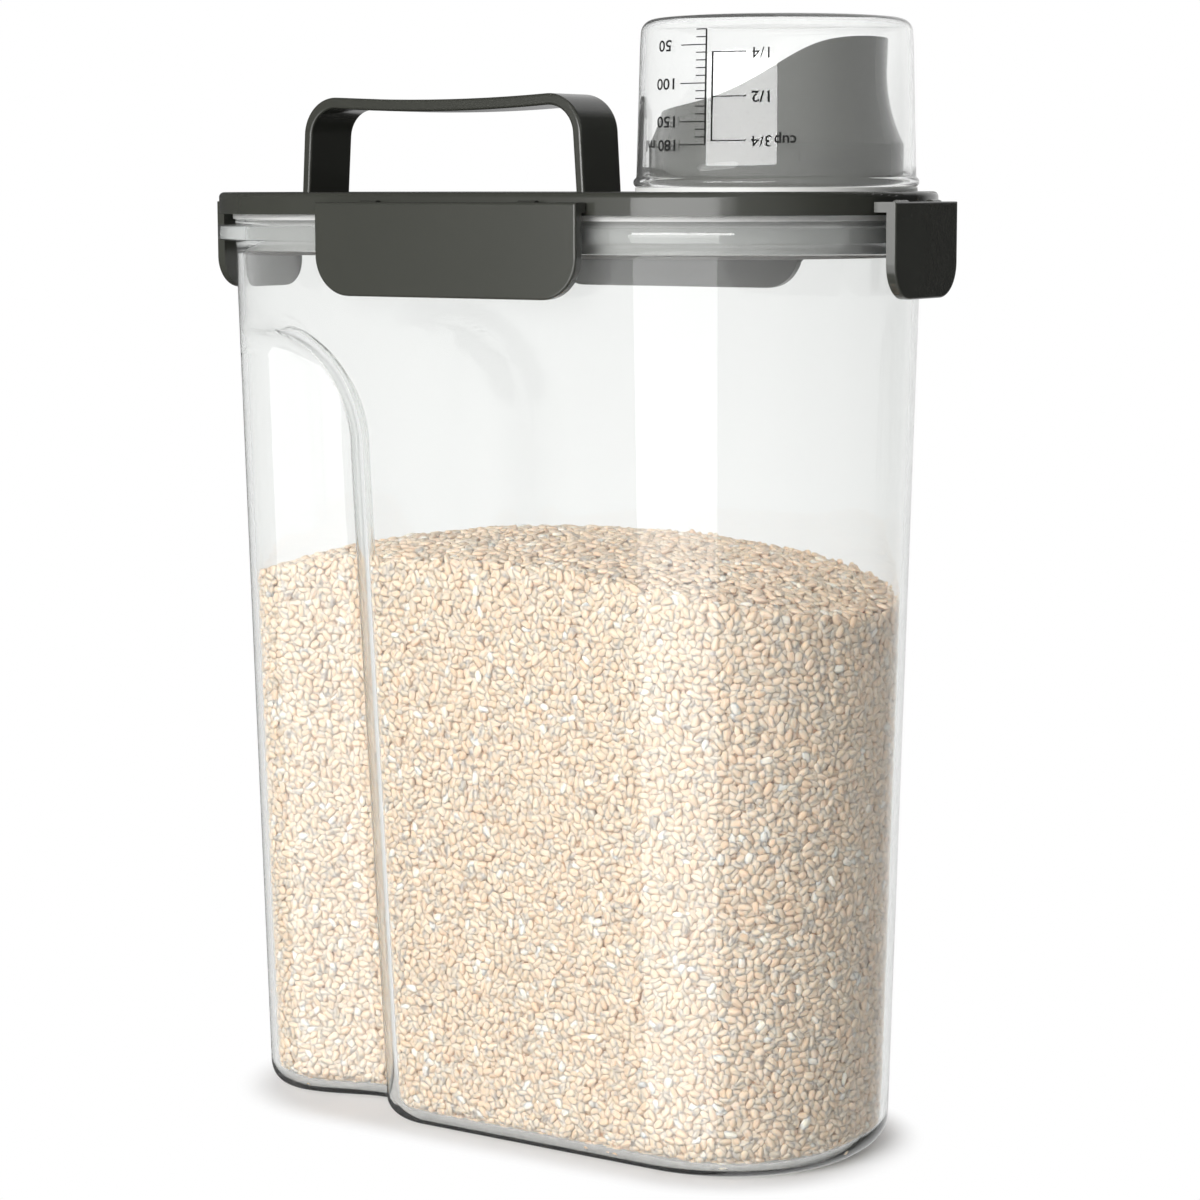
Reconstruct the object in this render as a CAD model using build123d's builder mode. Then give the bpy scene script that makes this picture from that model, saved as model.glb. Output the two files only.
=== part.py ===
from build123d import *
import math
import os

os.makedirs("parts", exist_ok=True)

# Levels of the rim stack, in millimetres above the underside of the base.
flange_bottom_z = 271.4
flange_height = 4.7
lip_height = 1.7
gasket_show = 1.6
lid_side_height = 6.6

# Container: a tapered, round-ended vessel with a grip recess on both long sides.
body_length = 225.7
body_width = 111.7
body_draft = 1.55
end_flat = 2.0
wall = 2.0
floor_thickness = 3.0
base_radius = 8.0
flange_edge = 0.6

# Grip recess: an arch-topped step on each side, deepest behind the step and flaring out to the end.
grip_depth = 17.4
grip_x = -38.1
grip_lean = 2.0
grip_top_z = 250.0
grip_arch_radius = 42.0
grip_run = 18.0
grip_top_run = 13.0
grip_shoulder_depth = 6.0
grip_flare = 20.5
grip_bend = 12.0
grip_round = 12.0

# Rice filling, a gentle heap.
rice_gap = 0.1
rice_end_z = 163.0
rice_crown_z = 178.0

# Lid, which reaches past the body by the same amount all round.
rim_reach = 4.15
lid_end_flat = 4.0
flange_overhang = 0.5
lid_plate = 2.4
lid_rim = 2.2
lid_top_edge = 1.6
skirt_gap = 0.7
skirt_thickness = 2.0
skirt_reach = 9.0

# Lid gasket.
gasket_overhang = 0.6

# Latches and their hinges.
latch_offset = 5.6
latch_plate = 3.1
latch_height = 27.4
latch_drop = 2.9
side_latch_width = 92.6
end_latch_width = 38.0
side_latch_corner = 12.0
end_latch_corner = 10.0
latch_edge = 0.7
hinge_reach = 2.3
web_height = 2.9
web_gap = 0.6
axle_radius = 0.95
axle_clearance = 0.05
ear_radius = 2.0
ear_sweep_gap = 0.15
ear_side_gap = 0.25
ear_neck_half = 1.4
ear_slot = 1.5
side_ear_width = 6.0
side_ear_offset = 28.0
end_ear_width = 5.0
end_ear_offset = 10.0
hook_height = 2.8
hook_tip = 0.8
hook_drop = 0.35
hook_gap = 0.25
side_hook_width = 60.0
end_hook_width = 24.0

# Carry handle, which fills the room between the end of the lid and the cup.
handle_margin = 22.6
handle_spacing = 18.6
handle_height = 30.2
handle_width = 21.0
handle_lean = 1.8
handle_sag = 2.0
handle_bar = 3.6
handle_leg = 3.0
handle_bend = 12.0
handle_edge = 0.8
tenon_width = 14.0
tenon_gap = 0.05
tenon_reach = 1.8
barb_step = 0.8

# Pour spout.
collar_radius = 37.0
collar_height = 13.5
throat_radius = 30.2
spout_wall = 1.8
spout_neck_radius = 32.0
spout_neck_height = 37.0
spout_front_height = 44.0
spout_rear_height = 23.0
hole_gap = 0.2
spout_snap = 0.7
spout_tail = 2.2
lug_thickness = 1.3
lug_height = 2.6
collar_lug_level = 8.6
lug_arc = 20.0

# Measuring cup, worn upside down over the spout, and its sealing ring.
seal_thickness = 1.2
seal_width = 4.0
seal_gap = 0.1
cup_margin = 2.4
cup_bead_radius = 41.6
cup_bead_height = 3.0
cup_mouth_radius = 40.8
cup_end_radius = 39.4
cup_height = 48.2
cup_wall = 1.6
cup_corner = 4.0
cup_lug_level = 4.6

# Worked-out levels and outlines.
flange_top_z = flange_bottom_z + flange_height
lip_top_z = flange_top_z + lip_height
lid_bottom_z = lip_top_z + gasket_show
lid_top_z = lid_bottom_z + lid_side_height
lid_under_z = lid_top_z - lid_plate
lid_length = body_length + 2 * rim_reach
lid_width = body_width + 2 * rim_reach
draft_slope = math.tan(math.radians(body_draft))
lean_slope = math.tan(math.radians(grip_lean))
flare_slope = math.tan(math.radians(grip_flare))
spring_z = grip_top_z - grip_arch_radius
arch_x = grip_x - grip_arch_radius
end_centre = body_length / 2 - body_width / 2 + end_flat
corner_angle = 62.0
lid_end_radius = lid_width / 2 - lid_end_flat
spout_x = lid_length / 2 - cup_margin - cup_bead_radius
handle_low_x = handle_margin - lid_length / 2
handle_high_x = spout_x - cup_bead_radius - handle_spacing
handle_span = handle_high_x - handle_low_x
handle_x = (handle_low_x + handle_high_x) / 2


def plan_size(z, inset):
    """Length and width of the container's tapered plan at one level."""
    shrink = (flange_bottom_z - z) * draft_slope + inset
    return body_length - 2 * shrink, body_width - 2 * shrink


def full_half(x, z, inset):
    """Half of the full width at a place along the length: straight, then round towards the ends."""
    radius = plan_size(z, inset)[1] / 2 - end_flat
    past = max(abs(x) - end_centre, 0)
    return end_flat + math.sqrt(max(radius**2 - past**2, 0))


def arch_share(z):
    """Share of the way from the spring of the arch to its top."""
    return min(max(z - spring_z, 0) / grip_arch_radius, 1)


def step_run(z):
    """Run of the S-shaped step, which is shorter on the shoulder over the recess."""
    return grip_run + (grip_top_run - grip_run) * arch_share(z)


def step_grow(z, inset):
    """How far the step moves when the wall is set in by a thickness."""
    depth = grip_depth + (grip_shoulder_depth - grip_depth) * arch_share(z)
    return inset * depth / step_run(z)


def step_start(z):
    """Where the step begins below the arch, on a line that leans with height."""
    return grip_x + max(spring_z - z, 0) * lean_slope


def step_share(part):
    """Share of the step's depth along its run: two equal arcs that meet halfway as an S."""
    part = min(max(part, 0), 1)
    turn = 2 * math.atan(grip_depth / grip_run)
    rise = 1 - math.sqrt(1 - (2 * min(part, 1 - part) * math.sin(turn)) ** 2)
    rise = rise / (2 - 2 * math.cos(turn))
    return rise if part < 0.5 else 1 - rise


def grip_half(x, z, inset):
    """Half width at the bottom of the recess: a floor that bends out and blends into the round end."""
    full = full_half(x, z, inset)
    past = max(step_start(z) - grip_run - inset * flare_slope / 2 - x, 0)
    flare = past**2 / (2 * grip_bend) if past < grip_bend else past - grip_bend / 2
    floor = plan_size(z, inset)[1] / 2 - grip_depth + flare_slope * flare
    near = max(grip_round - abs(full - floor), 0) / grip_round
    return min(full, floor) - grip_round / 4 * near**2


def side_half(x, z, inset):
    """Half width of the container with its recess, whose edge is a leaning line under an arch."""
    within = step_start(z) - x
    if z > spring_z:
        within = grip_arch_radius - math.hypot(max(x - arch_x, 0), z - spring_z)
    share = step_share((within + step_grow(z, inset)) / step_run(z))
    full = full_half(x, z, inset)
    return full - share * (full - grip_half(x, z, inset))


def side_stations(z, inset):
    """Places along one side from the start of the step to the round end, close together on the step."""
    first = step_start(z) + step_grow(z, inset)
    last = first - grip_run
    if z > spring_z:
        outer = grip_arch_radius + step_grow(z, inset)
        inner = outer - step_run(z)
        first = arch_x + math.sqrt(max(outer**2 - (z - spring_z) ** 2, 0))
        last = arch_x + math.sqrt(max(inner**2 - (z - spring_z) ** 2, 0))
    first = max(first, -end_centre)
    last = min(last, first - grip_top_run)
    corner = -end_centre - (plan_size(z, inset)[1] / 2 - end_flat) * math.sin(math.radians(corner_angle))
    step = [first + (last - first) * part / 10 for part in range(10)]
    return step + [last + (corner - last) * part / 12 for part in range(13)]


def vessel_section(z, inset):
    """Plan outline of the container at one level, with the recess on both sides."""
    length, width = plan_size(z, inset)
    half, tip = width / 2, length / 2
    bow = (half - end_flat) * math.cos(math.radians(45))
    side = [(x, side_half(x, z, inset)) for x in side_stations(z, inset)]
    corner = side[-1]
    rest = math.radians(45 + corner_angle / 2)
    middle = (-end_centre - (half - end_flat) * math.sin(rest), end_flat + (half - end_flat) * math.cos(rest))
    with BuildSketch(Plane.XY.offset(z)) as region:
        with BuildLine():
            for sign in (-1, 1):
                Line((end_centre, sign * half), (side[0][0], sign * half))
                Spline([(x, sign * y) for x, y in side])
                ThreePointArc((corner[0], sign * corner[1]), (middle[0], sign * middle[1]),
                              (-tip, sign * end_flat))
                ThreePointArc((end_centre, sign * half), (end_centre + bow, sign * (end_flat + bow)),
                              (tip, sign * end_flat))
            Line((-tip, -end_flat), (-tip, end_flat))
            Line((tip, -end_flat), (tip, end_flat))
        make_face()
    return region.sketch.faces()[0]


def vessel_form(low_z, high_z, inset):
    """Container shape at a given inset: plan outlines from the rounded base past the arch to the top."""
    radius = base_radius - inset
    levels = []
    for angle in (0, 25, 50, 70, 90):
        turn = math.radians(angle)
        levels.append((low_z + radius * (1 - math.cos(turn)), inset + radius * (1 - math.sin(turn))))
    arch_top = grip_top_z + step_grow(grip_top_z, inset)
    for part in (0, 0.2, 0.36, 0.5, 0.62, 0.72, 0.8, 0.87, 0.94, 1):
        levels.append((spring_z + (arch_top - spring_z) * part, inset))
    levels.append((high_z, inset))
    kept = [(z, set_in) for z, set_in in levels if z <= high_z]
    if kept[-1][0] < high_z:
        kept.append((high_z, inset))
    with BuildPart() as form:
        loft(sections=[vessel_section(z, set_in) for z, set_in in kept], ruled=True)
    return form.part


# Container body, one clear moulding.
flange_length = lid_length + 2 * flange_overhang
flange_width = lid_width + 2 * flange_overhang
with BuildPart() as container_body:
    with BuildSketch(Plane.XY.offset(flange_bottom_z)):
        RectangleRounded(flange_length, flange_width, lid_end_radius + flange_overhang)
    extrude(amount=flange_height)
    fillet(container_body.faces().sort_by(Axis.Z)[0].edges(), flange_edge)
    fillet(container_body.faces().sort_by(Axis.Z)[-1].edges(), flange_edge)
    add(vessel_form(0, lip_top_z, 0))
    add(vessel_form(floor_thickness, lip_top_z + 1, wall), mode=Mode.SUBTRACT)
container_body.part.label = "container_body"
export_step(container_body.part, "parts/container_body.step")

# Rice filling, one solid that stands for the loose grains.
with BuildPart() as rice_fill:
    add(vessel_form(floor_thickness, rice_crown_z + 10, wall + rice_gap))
    with BuildSketch(Plane.XZ):
        with BuildLine():
            reach = body_length / 2
            ThreePointArc((-reach, rice_end_z), (0, rice_crown_z), (reach, rice_end_z))
            Polyline((reach, rice_end_z), (reach, -10), (-reach, -10), (-reach, rice_end_z))
        make_face()
    extrude(amount=body_width, both=True, mode=Mode.INTERSECT)
rice_fill.part.label = "rice_fill"
export_step(rice_fill.part, "parts/rice_fill.step")


def hinge_plane(out, reach, shift):
    """Cross-section plane of a latch hinge: local x points outward and local y points up."""
    along = (-out[1], out[0])
    origin = (out[0] * reach + along[0] * shift, out[1] * reach + along[1] * shift, axis_z)
    return Plane(origin=origin, x_dir=(out[0], out[1], 0), z_dir=(out[1], -out[0], 0))


# Hinge lines: outward direction, distance of the rim from the middle, latch width and supports.
latch_top_z = lid_top_z - latch_drop
axis_z = latch_top_z - web_height / 2
latch_sites = {
    "front": ((0, -1), lid_width / 2, side_latch_width, side_ear_width, side_ear_offset),
    "back": ((0, 1), lid_width / 2, side_latch_width, side_ear_width, side_ear_offset),
    "spout_end": ((1, 0), lid_length / 2, end_latch_width, end_ear_width, end_ear_offset),
    "grip_end": ((-1, 0), lid_length / 2, end_latch_width, end_ear_width, end_ear_offset),
}

# Lid with its rim, plug skirt, spout hole, handle slots and hinge ears.
skirt_length = plan_size(lip_top_z, wall + skirt_gap)[0]
skirt_width = plan_size(lip_top_z, wall + skirt_gap)[1]
hole_radius = throat_radius + spout_wall + hole_gap
leg_foot = handle_span / 2 - handle_leg / 2
with BuildPart() as lid:
    with BuildSketch(Plane.XY.offset(lid_bottom_z)):
        RectangleRounded(lid_length, lid_width, lid_end_radius)
    extrude(amount=lid_side_height)
    fillet(lid.faces().sort_by(Axis.Z)[-1].edges(), lid_top_edge)
    with BuildSketch(Plane.XY.offset(lid_bottom_z)):
        RectangleRounded(lid_length - 2 * lid_rim, lid_width - 2 * lid_rim, lid_end_radius - lid_rim)
    extrude(amount=lid_side_height - lid_plate, mode=Mode.SUBTRACT)
    with BuildSketch(Plane.XY.offset(lip_top_z - skirt_reach)):
        RectangleRounded(skirt_length, skirt_width, skirt_width / 2 - end_flat)
        RectangleRounded(skirt_length - 2 * skirt_thickness, skirt_width - 2 * skirt_thickness,
                         skirt_width / 2 - end_flat - skirt_thickness, mode=Mode.SUBTRACT)
    extrude(amount=lid_under_z - lip_top_z + skirt_reach + 0.5)
    with BuildSketch(Plane.XY.offset(lid_under_z - 1)):
        with Locations((spout_x, 0)):
            Circle(hole_radius)
    extrude(amount=lid_plate + 2, mode=Mode.SUBTRACT)
    with BuildSketch(Plane.XY.offset(lid_under_z - 1)):
        with Locations((handle_x - leg_foot, 0), (handle_x + leg_foot, 0)):
            Rectangle(handle_leg + 2 * tenon_gap, tenon_width + 2 * tenon_gap)
    extrude(amount=lid_plate + 2, mode=Mode.SUBTRACT)
    for out, rim, width, ear_width, ear_offset in latch_sites.values():
        for shift in (-ear_offset, ear_offset):
            section = hinge_plane(out, rim + hinge_reach, shift)
            with BuildSketch(section):
                Circle(ear_radius)
                with Locations((-(hinge_reach + lid_rim / 2) / 2, 0)):
                    Rectangle(hinge_reach + lid_rim / 2, 2 * ear_neck_half)
                Circle(axle_radius + axle_clearance, mode=Mode.SUBTRACT)
                with Locations((ear_radius, 0)):
                    Rectangle(2 * ear_radius, ear_slot, mode=Mode.SUBTRACT)
            extrude(amount=ear_width / 2, both=True)
lid.part.label = "lid"
export_step(lid.part, "parts/lid.step")

# Silicone gasket round the skirt, seated on the lip of the container.
gasket_length = plan_size(lip_top_z, -gasket_overhang)[0]
gasket_width = plan_size(lip_top_z, -gasket_overhang)[1]
with BuildPart() as lid_gasket:
    with BuildSketch(Plane.XY.offset(lip_top_z)):
        RectangleRounded(gasket_length, gasket_width, gasket_width / 2 - end_flat)
        RectangleRounded(skirt_length, skirt_width, skirt_width / 2 - end_flat, mode=Mode.SUBTRACT)
    extrude(amount=lid_under_z - lip_top_z)
lid_gasket.part.label = "lid_gasket"
export_step(lid_gasket.part, "parts/lid_gasket.step")


def latch_block(out, rim, width, ear_width, ear_offset, corner, hook_width):
    """Latch flap: outer plate, top web with its axle, and a hook that catches the flange."""
    plate_out = latch_offset - hinge_reach
    plate_in = plate_out - latch_plate
    web_half = web_height / 2
    foot = web_half - latch_height
    hook_top = flange_bottom_z - hook_drop - axis_z
    tip = flange_overhang + hook_gap - hinge_reach
    middle = hinge_plane(out, rim + hinge_reach, 0)
    out_axis = Axis((0, 0, 0), (out[0], out[1], 0))
    with BuildPart() as latch:
        with BuildSketch(middle):
            with BuildLine():
                Polyline((plate_in, -web_half), (plate_in, foot), (plate_out, foot), (plate_out, web_half),
                         (-8, web_half), (-8, -web_half), close=True)
            make_face()
        extrude(amount=width / 2, both=True)
        fillet(latch.edges().filter_by(out_axis).group_by(Axis.Z)[0], corner)
        fillet(latch.faces().sort_by(out_axis)[-1].edges(), latch_edge)
        with BuildSketch(Plane.XY.offset(lid_bottom_z - 5)):
            RectangleRounded(lid_length + 2 * web_gap, lid_width + 2 * web_gap, lid_end_radius + web_gap)
        extrude(amount=lid_side_height + 10, mode=Mode.SUBTRACT)
        with BuildSketch(middle):
            with BuildLine():
                Polyline((plate_in + 0.5, hook_top), (tip, hook_top), (tip, hook_top - hook_tip),
                         (plate_in, hook_top - hook_height), (plate_in + 0.5, hook_top - hook_height),
                         close=True)
            make_face()
        extrude(amount=hook_width / 2, both=True)
        for shift in (-ear_offset, ear_offset):
            section = hinge_plane(out, rim + hinge_reach, shift)
            with BuildSketch(section):
                Circle(ear_radius + ear_sweep_gap)
                with Locations((-4, 0)):
                    Rectangle(8, web_height + 1)
            extrude(amount=ear_width / 2 + ear_side_gap, both=True, mode=Mode.SUBTRACT)
            with BuildSketch(section):
                Circle(axle_radius)
            extrude(amount=ear_width / 2 + ear_side_gap, both=True)
    return latch.part


# Four flap latches hung on the lid.
with BuildPart() as latch_front:
    add(latch_block(*latch_sites["front"], side_latch_corner, side_hook_width))
latch_front.part.label = "latch_front"
export_step(latch_front.part, "parts/latch_front.step")

with BuildPart() as latch_back:
    add(latch_block(*latch_sites["back"], side_latch_corner, side_hook_width))
latch_back.part.label = "latch_back"
export_step(latch_back.part, "parts/latch_back.step")

with BuildPart() as latch_spout_end:
    add(latch_block(*latch_sites["spout_end"], end_latch_corner, end_hook_width))
latch_spout_end.part.label = "latch_spout_end"
export_step(latch_spout_end.part, "parts/latch_spout_end.step")

with BuildPart() as latch_grip_end:
    add(latch_block(*latch_sites["grip_end"], end_latch_corner, end_hook_width))
latch_grip_end.part.label = "latch_grip_end"
export_step(latch_grip_end.part, "parts/latch_grip_end.step")

# Carry handle: a broad strap on two legs, snapped into the lid.
handle_top_z = lid_top_z + handle_height
foot_half = handle_span / 2
top_half = foot_half - handle_lean
inner_foot = foot_half - handle_leg
inner_top = top_half - handle_leg
inner_z = handle_top_z - handle_bar
with BuildPart() as carry_handle:
    with BuildSketch(Plane.XZ):
        with BuildLine():
            Line((handle_x - foot_half, lid_top_z), (handle_x - top_half, handle_top_z))
            ThreePointArc((handle_x - top_half, handle_top_z), (handle_x, handle_top_z - handle_sag),
                          (handle_x + top_half, handle_top_z))
            Polyline((handle_x + top_half, handle_top_z), (handle_x + foot_half, lid_top_z),
                     (handle_x - foot_half, lid_top_z))
        strap = make_face()
        fillet(strap.vertices().group_by(Axis.Y)[-1], handle_bend)
    extrude(amount=handle_width / 2, both=True)
    with BuildSketch(Plane.XZ):
        with BuildLine():
            Line((handle_x - inner_foot, lid_top_z), (handle_x - inner_top, inner_z))
            ThreePointArc((handle_x - inner_top, inner_z), (handle_x, inner_z - handle_sag),
                          (handle_x + inner_top, inner_z))
            Polyline((handle_x + inner_top, inner_z), (handle_x + inner_foot, lid_top_z),
                     (handle_x - inner_foot, lid_top_z))
        opening = make_face()
        fillet(opening.vertices().group_by(Axis.Y)[-1], handle_bend - handle_leg)
    extrude(amount=handle_width, both=True, mode=Mode.SUBTRACT)
    rims = carry_handle.edges().filter_by(lambda e: abs(abs(e.center().Y) - handle_width / 2) < 0.01)
    fillet(rims.filter_by(lambda e: e.center().Z > lid_top_z + 1), handle_edge)
    with BuildSketch(Plane.XY.offset(lid_top_z)):
        with Locations((handle_x - leg_foot, 0), (handle_x + leg_foot, 0)):
            Rectangle(handle_leg, tenon_width)
    extrude(amount=-lid_plate - tenon_reach)
    for side in (-1, 1):
        face_x = handle_x + side * (leg_foot - handle_leg / 2)
        low_z = lid_under_z - tenon_reach
        with BuildSketch(Plane.XZ):
            with BuildLine():
                Polyline((face_x, lid_under_z), (face_x - side * barb_step, lid_under_z),
                         (face_x, low_z), close=True)
            make_face()
        extrude(amount=tenon_width / 2, both=True)
carry_handle.part.label = "carry_handle"
export_step(carry_handle.part, "parts/carry_handle.step")

# Pour spout: collar, throat and a scooped lip, snapped into the hole of the lid.
spout_plane = Plane(origin=(spout_x, 0, lid_top_z), x_dir=(1, 0, 0), z_dir=(0, -1, 0))
tube_radius = throat_radius + spout_wall
core_radius = collar_radius - spout_wall
with BuildPart() as pour_spout:
    with BuildSketch(spout_plane):
        with BuildLine():
            top = spout_front_height + 4
            bow_r = (collar_radius + spout_neck_radius) / 2 - 1.2
            bow_z = (collar_height + spout_neck_height) / 2 - 2
            tail_z = -lid_plate - spout_tail
            Polyline((throat_radius, top), (throat_radius, tail_z), (tube_radius, tail_z),
                     (tube_radius + spout_snap, tail_z + spout_tail / 2),
                     (tube_radius + spout_snap, -lid_plate), (tube_radius, -lid_plate),
                     (tube_radius, collar_height + 2), (core_radius, collar_height - 2),
                     (core_radius, 0), (collar_radius, 0), (collar_radius, collar_height))
            ThreePointArc((collar_radius, collar_height), (bow_r, bow_z),
                          (spout_neck_radius, spout_neck_height))
            Polyline((spout_neck_radius, spout_neck_height), (spout_neck_radius + 0.4, top),
                     (throat_radius, top))
        make_face()
    revolve(axis=Axis((spout_x, 0, 0), (0, 0, 1)))
    with BuildSketch(spout_plane):
        with BuildLine():
            front = spout_front_height
            rear = spout_rear_height
            rise = front - rear
            Spline((-45, rear - 1), (-15, rear + 0.06 * rise), (0, rear + 0.2 * rise),
                   (14, rear + 0.53 * rise), (25, rear + 0.88 * rise), (45, front),
                   tangents=((1, 0), (1, 0)))
            Polyline((45, front), (45, front + 20), (-45, front + 20), (-45, rear - 1))
        make_face()
    extrude(amount=60, both=True, mode=Mode.SUBTRACT)
    for turn in (-40, 140):
        low = math.radians(turn - lug_arc / 2)
        high = math.radians(turn + lug_arc / 2)
        with BuildSketch(Plane.XY.offset(lid_top_z + collar_lug_level)):
            with Locations((spout_x, 0)):
                Circle(collar_radius + lug_thickness)
                Circle(collar_radius - 0.5, mode=Mode.SUBTRACT)
            with BuildLine():
                Polyline((spout_x, 0), (spout_x + 60 * math.cos(low), 60 * math.sin(low)),
                         (spout_x + 60 * math.cos(high), 60 * math.sin(high)), close=True)
            make_face(mode=Mode.INTERSECT)
        extrude(amount=lug_height)
pour_spout.part.label = "pour_spout"
export_step(pour_spout.part, "parts/pour_spout.step")

# Silicone ring under the cup.
with BuildPart() as cup_seal:
    with BuildSketch(Plane.XY.offset(lid_top_z)):
        with Locations((spout_x, 0)):
            Circle(collar_radius + seal_gap + seal_width)
            Circle(collar_radius + seal_gap, mode=Mode.SUBTRACT)
    extrude(amount=seal_thickness)
cup_seal.part.label = "cup_seal"
export_step(cup_seal.part, "parts/cup_seal.step")

# Measuring cup, mouth down over the spout.
cup_plane = Plane(origin=(spout_x, 0, lid_top_z + seal_thickness), x_dir=(1, 0, 0), z_dir=(0, -1, 0))
with BuildPart() as measuring_cup:
    with BuildSketch(cup_plane):
        with BuildLine():
            Polyline((0, 0), (cup_mouth_radius, 0), (cup_end_radius, cup_height), (0, cup_height), close=True)
        shell = make_face()
        fillet(shell.vertices().group_by(Axis.Y)[-1].sort_by(Axis.X)[-1:], cup_corner)
        with Locations(((cup_mouth_radius - 3 + cup_bead_radius) / 2, cup_bead_height / 2)):
            RectangleRounded(cup_bead_radius - cup_mouth_radius + 3, cup_bead_height,
                             cup_bead_height / 2 - 0.2)
        with BuildLine():
            Polyline((0, -1), (cup_mouth_radius - cup_wall, -1),
                     (cup_end_radius - cup_wall, cup_height - cup_wall),
                     (0, cup_height - cup_wall), close=True)
        hollow = make_face(mode=Mode.SUBTRACT)
    revolve(axis=Axis((spout_x, 0, 0), (0, 0, 1)))
    for turn in (-85, 95):
        low = math.radians(turn - lug_arc / 2)
        high = math.radians(turn + lug_arc / 2)
        lug_root = cup_mouth_radius - cup_wall
        with BuildSketch(Plane.XY.offset(lid_top_z + seal_thickness + cup_lug_level)):
            with Locations((spout_x, 0)):
                Circle(lug_root + 0.4)
                Circle(lug_root - lug_thickness, mode=Mode.SUBTRACT)
            with BuildLine():
                Polyline((spout_x, 0), (spout_x + 60 * math.cos(low), 60 * math.sin(low)),
                         (spout_x + 60 * math.cos(high), 60 * math.sin(high)), close=True)
            make_face(mode=Mode.INTERSECT)
        extrude(amount=lug_height)
measuring_cup.part.label = "measuring_cup"
export_step(measuring_cup.part, "parts/measuring_cup.step")
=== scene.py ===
import math

import bpy
import numpy as np
from bpy.props import FloatProperty, FloatVectorProperty, IntProperty, PointerProperty
from mathutils import Matrix, Vector


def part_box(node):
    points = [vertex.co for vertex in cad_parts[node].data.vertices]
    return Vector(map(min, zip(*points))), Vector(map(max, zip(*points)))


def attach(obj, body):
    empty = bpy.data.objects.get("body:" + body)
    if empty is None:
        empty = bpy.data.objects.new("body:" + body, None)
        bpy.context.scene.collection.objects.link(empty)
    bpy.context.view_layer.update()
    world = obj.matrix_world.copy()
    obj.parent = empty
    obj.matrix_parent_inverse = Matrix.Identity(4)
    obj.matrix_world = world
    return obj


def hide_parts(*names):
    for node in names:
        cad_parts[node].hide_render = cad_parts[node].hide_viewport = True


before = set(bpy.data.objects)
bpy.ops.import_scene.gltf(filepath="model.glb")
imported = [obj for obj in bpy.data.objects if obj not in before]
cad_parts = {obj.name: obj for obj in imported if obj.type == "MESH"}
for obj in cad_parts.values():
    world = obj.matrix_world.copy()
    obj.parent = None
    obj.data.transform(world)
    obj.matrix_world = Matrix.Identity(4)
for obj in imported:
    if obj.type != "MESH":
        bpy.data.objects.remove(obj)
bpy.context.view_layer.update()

bl_info = {
    "name": "Rice storage container",
    "version": (1, 0, 0),
    "blender": (4, 5, 0),
    "location": "View3D > Sidebar > Rice Store",
    "description": "Dresses a clear rice storage container with a latched lid, pour spout and measuring cup",
    "category": "Add Mesh",
}

MM = 0.001
CUP_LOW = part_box("measuring_cup")[0]
LID_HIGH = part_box("lid")[1]


def length(name, text, millimetres):
    """A length property, in metres."""
    return FloatProperty(name=name, description=text, default=millimetres * MM, unit="LENGTH", precision=5)


def angle(name, text, degrees):
    """An angle property, in radians."""
    return FloatProperty(name=name, description=text, default=math.radians(degrees), subtype="ANGLE")


def number(name, text, value, **limits):
    """A plain number property."""
    return FloatProperty(name=name, description=text, default=value, **limits)


def tint(name, text, value):
    """A linear colour property."""
    return FloatVectorProperty(name=name, description=text, default=value, subtype="COLOR", size=3, min=0, max=1)


class VesselSizes(bpy.types.PropertyGroup):
    """Sizes of the clear container."""

    long: length("Length", "Length of the body under its flange", 225.7)
    wide: length("Width", "Width of the body under its flange", 111.7)
    rim_z: length("Flange level", "Height of the flange's underside", 271.4)
    flange: length("Flange height", "Thickness of the rim flange", 4.7)
    lip: length("Lip height", "Height of the lip above the flange", 1.7)
    flange_long: length("Flange length", "Length over the flange", 235.0)
    flange_wide: length("Flange width", "Width over the flange", 121.0)
    flange_flat: length("Flange end flat", "Half of the straight run at each end of the flange", 4.0)
    end_flat: length("End flat", "Half of the straight run at each end of the body", 2.0)
    wall: length("Wall", "Wall thickness", 2.0)
    floor: length("Floor", "Floor thickness", 3.0)
    base_radius: length("Base radius", "Rounding of the bottom edge", 8.0)
    draft: angle("Draft", "Lean of the walls", 1.55)
    grip_depth: length("Grip depth", "How far each side steps in at the grip", 17.4)
    grip_x: length("Grip start", "Where the step starts along the length", -38.1)
    grip_lean: angle("Grip lean", "Lean of the step", 2.0)
    grip_top: length("Grip top", "Height of the arch over the grip", 250.0)
    grip_arch: length("Grip arch", "Radius of the arch", 42.0)
    grip_run: length("Grip run", "Width of the S-shaped step", 18.0)
    grip_top_run: length("Grip top run", "Width of the step on the shoulder over the grip", 13.0)
    grip_shoulder: length("Grip shoulder", "Depth of the shoulder over the grip", 6.0)
    grip_flare: angle("Grip flare", "Turn of the grip's floor towards the end", 20.5)
    grip_bend: length("Grip bend", "Length over which the floor turns", 12.0)
    grip_round: length("Grip rounding", "Blend of the floor into the round end", 12.0)


class CupSizes(bpy.types.PropertyGroup):
    """Sizes of the measuring cup."""

    x: length("Cup place", "Place of the cup along the length", 73.0)
    bead: length("Bead radius", "Outer radius of the mouth bead", 41.6)
    bead_height: length("Bead height", "Height of the mouth bead", 3.0)
    mouth: length("Mouth radius", "Outer radius of the wall at the mouth", 40.8)
    end: length("End radius", "Outer radius of the wall at the closed end", 39.4)
    height: length("Cup height", "Height over the cup", 48.2)
    wall: length("Cup wall", "Wall thickness of the cup", 1.6)
    corner: length("Cup corner", "Rounding of the closed end", 4.0)
    lug_level: length("Lug level", "Height of the locking lugs above the mouth", 4.6)
    lug_height: length("Lug height", "Height of a locking lug", 2.6)
    lug_deep: length("Lug depth", "How far a lug stands into the cup", 1.3)


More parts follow.
